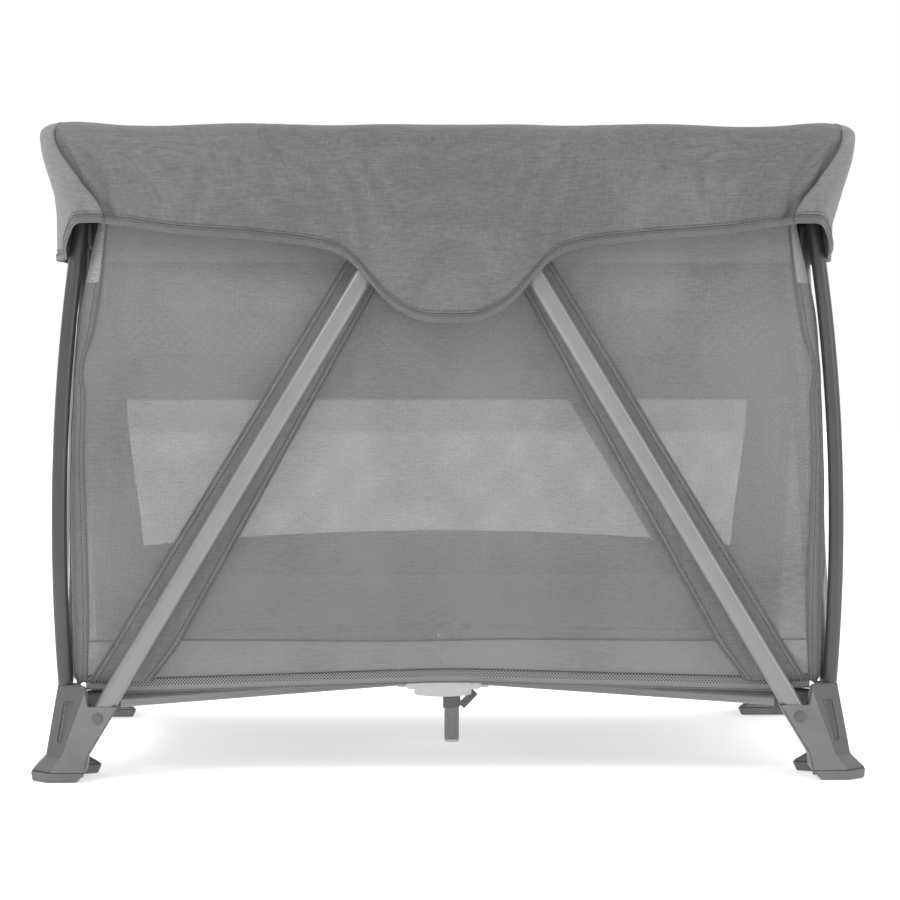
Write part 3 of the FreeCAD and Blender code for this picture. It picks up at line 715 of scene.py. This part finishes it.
def rim_point(s, v, kind, lift=0.0):
    """Front right quarter of the rim. v runs from the inner edge over the roll to the hem (1)."""
    x, y, nx, ny = plan(s)
    hem = hem_at(s, kind)
    near_corner = smooth(STRAIGHT_X - 0.06, STRAIGHT_X + 0.02, s)
    near_corner *= smooth(HALF_RUN - 0.22, HALF_RUN - 0.30, s)
    top = 0.0024 * wobble(s, 0.0, 0.10, 6.0) + 0.0020 * near_corner
    top -= 0.0016 * bell(s - 0.40, 0.05)
    if v <= ROLL_END:
        out = along(v, [(t, d) for t, d, _ in ROLL])
        z = along(v, [(t, h) for t, _, h in ROLL]) + top * smooth(0.0, 0.1, v)
    else:
        t = (v - ROLL_END) / (1 - ROLL_END)
        out, z = -0.001 * t, ROLL_LOW + (hem - ROLL_LOW) * t
    hang = smooth(0.25, 0.45, v)
    out += 0.0030 * wobble(s, z * 0.5, 0.11, 4.0) * hang
    seam = dart_run(min(max(z, 0.69), 0.815))
    if kind == "front":
        tuck = smooth(0.12, 0.4, v) * smooth(1.02, 0.75, v)
        out -= 0.0085 * bell(seam - s - 0.008, 0.013) * tuck
        out += 0.0035 * bell(seam - s - 0.034, 0.014) * hang
        bow = 0.012 + 0.026 * smooth(0.695, 0.745, z) * smooth(0.812, 0.765, z)
        out -= 0.0080 * bell(seam - s - bow, 0.0070) * hang * smooth(1.0, 0.9, v)
        pull = math.sin((s - 0.2 + (0.80 - z) * 0.5) * 210) * bell(s - 0.20, 0.045)
        out += 0.0022 * pull * smooth(0.72, 0.80, z)
        out += 0.0020 * wobble(s - 0.5 * z, z * 0.25, 0.030, 8.0) * smooth(0.25, 0.42, s) * hang
    else:
        out += 0.0045 * bell(s - seam - 0.030, 0.030) * hang
        out += 0.0018 * wobble(s * 1.3, z * 0.5, 0.05, 20.0) * hang
    taper = 0.029 * smooth(0.10, 0.29, abs(y)) * min(max((0.805 - z) / 0.115, 0.0), 1.0) ** 1.2
    out += lift
    in_y = 0.12 * taper * abs(ny) if s > STRAIGHT_X else 0.0
    return Vector((x + nx * out - taper * abs(nx) ** 0.7, y + ny * out + in_y, z))


def rim_side(kind, u):
    """Where a column of a side's apron stands: its run from the middle of the front, and the hand."""
    if kind == "front":
        return lambda z: abs(u) * dart_run(z), 1 if u >= 0 else -1
    return lambda z: HALF_RUN - abs(u) * (HALF_RUN - dart_run(z) + 0.002), 1 if u >= 0 else -1


def seam_z(v):
    """Height at which the corner seam is met, for each share of the way down the cloth."""
    return 0.811 - 0.115 * smooth(0.12, 1.0, v)


def rim_cloth(kind, u, v, sign, lift=0.0):
    """Point of a whole apron: u from -1 to 1 along it, mirrored to the side that sign names."""
    run, hand = rim_side(kind, u)
    point = rim_point(run(seam_z(v)), v, kind, lift)
    if kind == "front":
        return mirror(point, hand, sign)
    return mirror(point, sign, hand)


def hem_line(kind, up, lift, sign):
    """A line that follows the hem, a little above it."""
    out = []
    for k in range(COLUMNS + 1):
        u = -1 + 2 * k / COLUMNS
        run, _ = rim_side(kind, u)
        v = 1 - (1 - ROLL_END) * up / (ROLL_LOW - hem_at(run(0.697), kind))
        out.append(rim_cloth(kind, u, v, sign, lift))
    return out


def apron(name, kind, sign, body, fold, mat, replaced):
    """One side of the rim's cover: the cloth, its bound hem and stitches, and the darts at its ends."""
    panel = surface(name, COLUMNS, 60, lambda u, v: rim_cloth(kind, 2 * u - 1, v, sign), mat, 0.0022)
    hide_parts(replaced)
    rows = [hem_line(kind, up, lift, sign) for up, lift in
            ((0.0005, 0.0013), (0.003, 0.0022), (0.006, 0.0022), (0.0088, 0.0018), (0.0100, 0.0010))]
    binding = surface(name + "_binding", COLUMNS, 4,
                      lambda u, v: rows[round(v * 4)][round(u * COLUMNS)], BINDING, 0.0012)
    groove = tube(name + "_groove", hem_line(kind, 0.0106, 0.0012, sign), 0.0007, THREAD, 6)
    sewn = [hem_line(kind, up, lift, sign) for up, lift in ((0.0078, 0.0028), (0.0140, 0.0014))]
    parts = [binding, groove, stitches(name + "_stitches", sewn)]
    if kind == "front":
        for hand in (-1, 1):
            pleat = []
            for k in range(41):
                v, bow = 0.30 + 0.66 * k / 40, 0.008 + 0.018 * math.sin(math.pi * k / 40)
                pleat.append(mirror(rim_point(dart_run(seam_z(v)) - bow, v, kind, 0.0008), hand, sign))
            parts.append(tube("%s_pleat_%s" % (name, HAND[hand]), pleat, 0.0012, mat))
            path = [rim_cloth(kind, hand, 0.16 + 0.84 * k / 50, sign, 0.0016) for k in range(51)]
            parts.append(tube("%s_dart_%s" % (name, HAND[hand]), path, 0.0016, BINDING))
    follow(panel, body, parts, **fold)


for side, sy in (("front", -1), ("back", 1)):
    apron("apron_" + side, "front", sy, LONG_BODY[side], LONG_FOLD, WOVEN, "rim_apron_" + side)
for side, sx in SIDE_X.items():
    apron("apron_" + side, "end", sx, END_BODY[side], END_FOLD, WOVEN_END_PAINTED_LIGHT, "rim_apron_" + side)


# bassinet insert and floor ----------------------------------------------------------------------------
BAS_X, BAS_Y, BAS_LOW, BAS_TALL, BAS_R = 0.431, 0.288, 0.4715, 0.327, 0.030
BAS_HIGH = BAS_LOW + BAS_TALL
BAS_ZONES = [(0.054, "BAND"), (0.108, "LOWER"), (BAS_TALL, "INNER")]


def bassinet_panel(name, point, zones, across, edges):
    """One side of the hanging insert: woven band at the floor, mesh above, woven strips at both ends."""
    heights, kinds = [0.0], []
    for top, kind in zones:
        start = heights[-1]
        count = max(3, int((top - start) / 0.018))
        for k in range(1, count + 1):
            heights.append(start + (top - start) * k / count)
            kinds.append(kind)
    steps = [-1 + 2 * i / across for i in range(across + 1)]
    verts = [point(t, BAS_LOW + h) for h in heights for t in steps]
    obj = zoned_sheet(name, verts, kinds, across)
    for polygon in obj.data.polygons:
        middle = steps[polygon.index % across] + 1 / across
        if abs(middle) > edges:
            polygon.material_index = 0
    return obj


def bulge(z):
    """How far the insert's cloth has swelled between its floor and its rim, from 0 to 1."""
    return math.sin(math.pi * (z - BAS_LOW) / BAS_TALL)


def long_insert(t, z, sy):
    x = t * BAS_X
    bend = max(abs(x) - BAS_X + BAS_R, 0.0) / BAS_R
    y = BAS_Y - BAS_R * (1 - math.sqrt(max(1 - bend * bend, 0.0))) - 0.003 * bulge(z)
    return mirror((x, -y + 0.0010 * wobble(x, z, 0.12, 14.0), z), 1, sy)


def end_insert(t, z, sx):
    return Vector((sx * (BAS_X - 0.003 * math.cos(t * 1.5) * bulge(z)), t * (BAS_Y - BAS_R), z))


# the shape of each side, its cells across, where its woven ends begin, its body, its fold and its flat size
BAS_SIDES = {
    "front": (lambda t, z: long_insert(t, z, -1), 96, 0.945, LONG_BODY["front"], LONG_FOLD, (0.92, 0.327)),
    "back": (lambda t, z: long_insert(t, z, 1), 96, 0.945, LONG_BODY["back"], LONG_FOLD, (0.92, 0.327)),
    "left": (lambda t, z: end_insert(t, z, -1), 48, 0.94, END_BODY["left"], END_FOLD, (0.516, 0.327)),
    "right": (lambda t, z: end_insert(t, z, 1), 48, 0.94, END_BODY["right"], END_FOLD, (0.516, 0.327)),
}
bas_panels = {side: bassinet_panel("bassinet_" + side, point, BAS_ZONES, across, edges)
              for side, (point, across, edges, _, _, _) in BAS_SIDES.items()}
for side, (point, _, _, body, fold, flat) in BAS_SIDES.items():
    panel = bas_panels[side]
    steps = [-1 + 2 * k / 90 for k in range(91)]
    band_z, window_z = (BAS_LOW + top for top, kind in BAS_ZONES[:2])
    parts = []
    for tag, z, radius in (("bottom_edge", BAS_LOW + 0.001, 0.0022), ("band_edge", band_z, 0.0010),
                           ("window_edge", window_z, 0.0010), ("top_edge", BAS_HIGH, 0.0024)):
        line = [point(t, z) for t in steps]
        parts.append(tube("bassinet_%s_%s" % (side, tag), line, radius, BINDING))
    for hand in (-1, 1):
        line = [point(hand * 0.943, window_z + 0.21 * k / 30) for k in range(31)]
        tag = "side_edge_%d" % (hand + 1)
        parts.append(tube("bassinet_%s_%s" % (side, tag), line, 0.0010, BINDING))

    def flange_point(u, v):
        top = point(2 * u - 1, BAS_HIGH)
        half_x, half_y = BAS_X - BAS_R, BAS_Y - BAS_R
        middle = Vector((min(max(top.x, -half_x), half_x), min(max(top.y, -half_y), half_y), top.z))
        rise = 0.0048 * smooth(0.0, 0.2, v) - 0.0006 * math.sin(math.pi * v)
        return top + (top - middle).normalized() * 0.034 * v + Vector((0, 0, rise))

    flange = surface("bassinet_flange_" + side, 90, 8, flange_point, WOVEN, 0.0012)
    parts.append(flange)
    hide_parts("bassinet_walls")
    follow(panel, body, parts, **fold)
    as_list(parts)


CHANNEL = 0.105     # spacing of the mattress's sewn channels


def inflate(obj, pressure, frames, cap):
    """Cloth under a little air pressure, with no point moving further than cap; the result is kept."""
    scene = bpy.context.scene
    mod = obj.modifiers.new("cloth", "CLOTH")
    mod.settings.use_pressure = True
    mod.settings.uniform_pressure_force = pressure
    mod.settings.effector_weights.gravity = 0.0
    mod.settings.tension_stiffness = 20
    mod.settings.bending_stiffness = 2.0
    mod.settings.quality = 5
    mod.point_cache.frame_start, mod.point_cache.frame_end = 1, frames
    for frame_number in range(1, frames + 1):
        scene.frame_set(frame_number)
    shaped = obj.evaluated_get(bpy.context.evaluated_depsgraph_get()).data
    moved = [v.co.copy() for v in shaped.vertices]
    obj.modifiers.clear()
    scene.frame_set(1)
    for vertex, new in zip(obj.data.vertices, moved):
        step = new - vertex.co
        if step.length > cap:
            step *= cap / step.length
        vertex.co += step


def mattress_half(name, sign):
    """Half of the folding mattress: a thin foam pad in a sewn cover, filled out by the simulation."""
    x_half, near, far, low, high = 0.4235, 0.004, 0.281, 0.4775, 0.4985
    mesh = bpy.data.meshes.new(name)
    made = bmesh.new()
    bmesh.ops.create_cube(made, size=1.0)
    made.to_mesh(mesh)
    made.free()
    obj = bpy.data.objects.new(name, mesh)
    bpy.context.scene.collection.objects.link(obj)
    for vertex in mesh.vertices:
        x, y, z = vertex.co
        vertex.co = (x * 2 * x_half, sign * (near + (far - near) * (y + 0.5)), low + (high - low) * (z + 0.5))
    apply(obj, "BEVEL", width=0.008, segments=2)
    apply(obj, "REMESH", mode="VOXEL", voxel_size=0.0075)
    inflate(obj, 2.0, 14, 0.006)
    for vertex in obj.data.vertices:
        x, y, z = vertex.co
        top = smooth(0.488, 0.497, z)
        channel = min(abs((x / CHANNEL) - round(x / CHANNEL)) * CHANNEL, abs(abs(y) - 0.143))
        vertex.co.z -= 0.0035 * top * bell(channel, 0.006)
        vertex.co.z = min(max(vertex.co.z, 0.4765), 0.5065)
        vertex.co.x = min(max(x, -0.4275), 0.4275)
        vertex.co.y = min(max(y, 0.0015), 0.2845) if sign > 0 else max(min(y, -0.0015), -0.2845)
    apply(obj, "SUBSURF", levels=1)
    obj.data.materials.append(QUILT)
    obj.data.polygons.foreach_set("use_smooth", [True] * len(obj.data.polygons))
    return obj


def rounded_path(x0, x1, y0, y1, z, r, step=14):
    path = []
    corners = ((x1 - r, y1 - r, 0), (x0 + r, y1 - r, 90), (x0 + r, y0 + r, 180), (x1 - r, y0 + r, 270))
    for cx, cy, start in corners:
        for k in range(step + 1):
            a = math.radians(start + 90 * k / step)
            path.append((cx + r * math.cos(a), cy + r * math.sin(a), z))
    return path


for side, sign in (("front", -1), ("back", 1)):
    pad = mattress_half("mattress_pad_" + side, sign)
    low_y, high_y = sorted((sign * 0.003, sign * 0.2835))
    piping = tube("mattress_piping_" + side, rounded_path(-0.4265, 0.4265, low_y, high_y, 0.4925, 0.014),
                  0.0020, BINDING, closed=True)
    channels = [[(CHANNEL * k, sign * y, 0.5022) for y in (0.012, 0.272)] for k in range(-4, 5)]
    rows = stitches("mattress_stitches_" + side, channels, length=0.005, gap=0.003)
    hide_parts("mattress_" + side)
    follow(pad, "bassinet_" + side, [piping, rows], **PAD_FOLD)

    def board_point(u, v):
        x = -0.4285 + 0.857 * u
        y = 0.0012 + 0.2840 * v
        return (x, sign * y, 0.4735 + 0.0006 * wobble(x, y, 0.06, 30.0))

    board = surface("bassinet_base_" + side, 60, 20, board_point, TUB, 0.0042)
    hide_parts("bassinet_board_" + side)
    follow(board, "bassinet_" + side, **BOARD_FOLD)

for corner, (sx, sy) in CORNER.items():
    def floor_point(u, v):
        x, y = 0.001 + 0.4520 * u, 0.001 + 0.3160 * v
        reach = math.hypot(max(x - 0.405, 0), max(y - 0.269, 0))
        if reach > 0.048:
            x = 0.405 + (x - 0.405) * 0.048 / reach
            y = 0.269 + (y - 0.269) * 0.048 / reach
        hole = math.hypot(x, y)
        if hole < 0.014:
            x, y = x / hole * 0.014, y / hole * 0.014
        quilt = 0.0012 * (abs(math.sin(x * 26)) * abs(math.sin(y * 26))) ** 0.5
        return (sx * x, sy * y, 0.1203 + quilt)

    quarter = surface("tub_floor_" + corner, 44, 30, floor_point, TUB, 0.0016)
    edge = tube("tub_floor_edge_" + corner, [floor_point(u, 1.0) for u in [k / 40 for k in range(41)]],
                0.0014, BINDING)
    side_way = Vector((sx * 0.282, -sy * 0.430, 0.0)).normalized()
    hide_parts("tub_floor")
    follow(quarter, "spoke_" + corner, [edge], axis=tuple(side_way), anchor=(0, 0, 0.12), keep=0.2)


# strap round the centre leg ---------------------------------------------------------------------------
LEG_X, STRAP_R = 0.012, 0.0112      # the centre leg stands off the middle


def strap_loop(u, v):
    turn = 2 * math.pi * u
    x, y = STRAP_R * math.cos(turn), STRAP_R * math.sin(turn)
    return (LEG_X + x, y, 0.0478 + 0.0145 * v + 0.0012 * math.cos(turn))


def strap_tail(u, v):
    across = 0.0105 * (v - 0.5)
    bow = 0.0020 * math.sin(math.pi * u)
    return (0.0250 + 0.0185 * u - 0.70 * across, -0.0040 - bow, 0.0500 + 0.0190 * u + 0.71 * across)


loop = surface("strap_loop", 40, 6, strap_loop, WEBBING, 0.0013)
tail = surface("strap_tail", 30, 6, strap_tail, WEBBING, 0.0013)
for strap in (loop, tail):
    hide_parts("fold_strap")
    follow(strap, "hub")


# moulded feet -----------------------------------------------------------------------------------------
for corner in CORNER:
    follow(softened("foot_housing_" + corner, HOUSING, 0.0013, 6), "corner_" + corner)
    follow(softened("foot_pad_" + corner, PAD, 0.0013, 14), "corner_" + corner)


# finishes for the hard parts --------------------------------------------------------------------------
FINISH = {
    "foot_housing": HOUSING, "foot_pad": PAD, "corner_post": POST, "post_cap": CAP, "corner_pins": RIVET,
    "spoke": SPOKE, "v_leg": LEG, "apex_bracket": HOUSING, "hub_housing": HUB, "hub_cover": HUB,
    "hub_pins": STEEL, "pull_handle": HANDLE, "handle_spring": SPRING, "centre_leg_cap": WHITE,
    "centre_leg": SPOKE,
}
for node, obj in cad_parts.items():
    for start, material in FINISH.items():
        if node.startswith(start):
            for held in obj.material_slots:
                held.material = material
            break


# floor, light and camera ------------------------------------------------------------------------------
def stage_floor():
    n = Nodes("studio_floor")
    tone = n.ramp(n.noise((3, 3, 3), 2.0), [(0.3, grey(250)), (0.7, grey(252))])
    n.link(tone, n.shader.inputs["Base Color"])
    n.set(Roughness=0.9, Emission_Color=(1, 1, 1, 1), Emission_Strength=0.45)
    mesh = bpy.data.meshes.new("studio_floor")
    corners = [(x, y, -0.0005) for x, y in ((-14, -14), (14, -14), (14, 14), (-14, 14))]
    mesh.from_pydata(corners, [], [(0, 1, 2, 3)])
    mesh.materials.append(n.mat)
    obj = bpy.data.objects.new("studio_floor", mesh)
    bpy.context.scene.collection.objects.link(obj)


def lamp(name, place, target, size, power):
    data = bpy.data.lights.new(name, "AREA")
    data.shape, data.size, data.size_y, data.energy = "RECTANGLE", size[0], size[1], power
    obj = bpy.data.objects.new(name, data)
    bpy.context.scene.collection.objects.link(obj)
    obj.location = place
    obj.rotation_euler = (Vector(target) - Vector(place)).to_track_quat("-Z", "Y").to_euler()


stage_floor()
world = bpy.data.worlds.new("studio")
world.use_nodes = True
world.node_tree.nodes["Background"].inputs["Color"].default_value = (1, 1, 1, 1)
world.node_tree.nodes["Background"].inputs["Strength"].default_value = 1.0
bpy.context.scene.world = world
lamp("key", (-1.9, -2.2, 2.5), (0, -0.2, 0.4), (1.0, 0.8), 30)
lamp("fill", (2.6, -1.8, 1.0), (0, -0.2, 0.4), (0.5, 1.8), 10)
lamp("top", (0, 0.2, 3.0), (0, 0, 0.6), (2.2, 1.6), 14)
bpy.context.scene.view_settings.view_transform = "Standard"

camera = bpy.data.objects.new("camera", bpy.data.cameras.new("camera"))
bpy.context.scene.collection.objects.link(camera)
camera.data.lens, camera.data.sensor_width = 122.6, 36.0
camera.location = (-0.10, -4.145, 0.546)
looks = Vector((0.0006, -0.345, 0.409)) - camera.location
camera.rotation_euler = looks.to_track_quat("-Z", "Y").to_euler()
bpy.context.scene.camera = camera
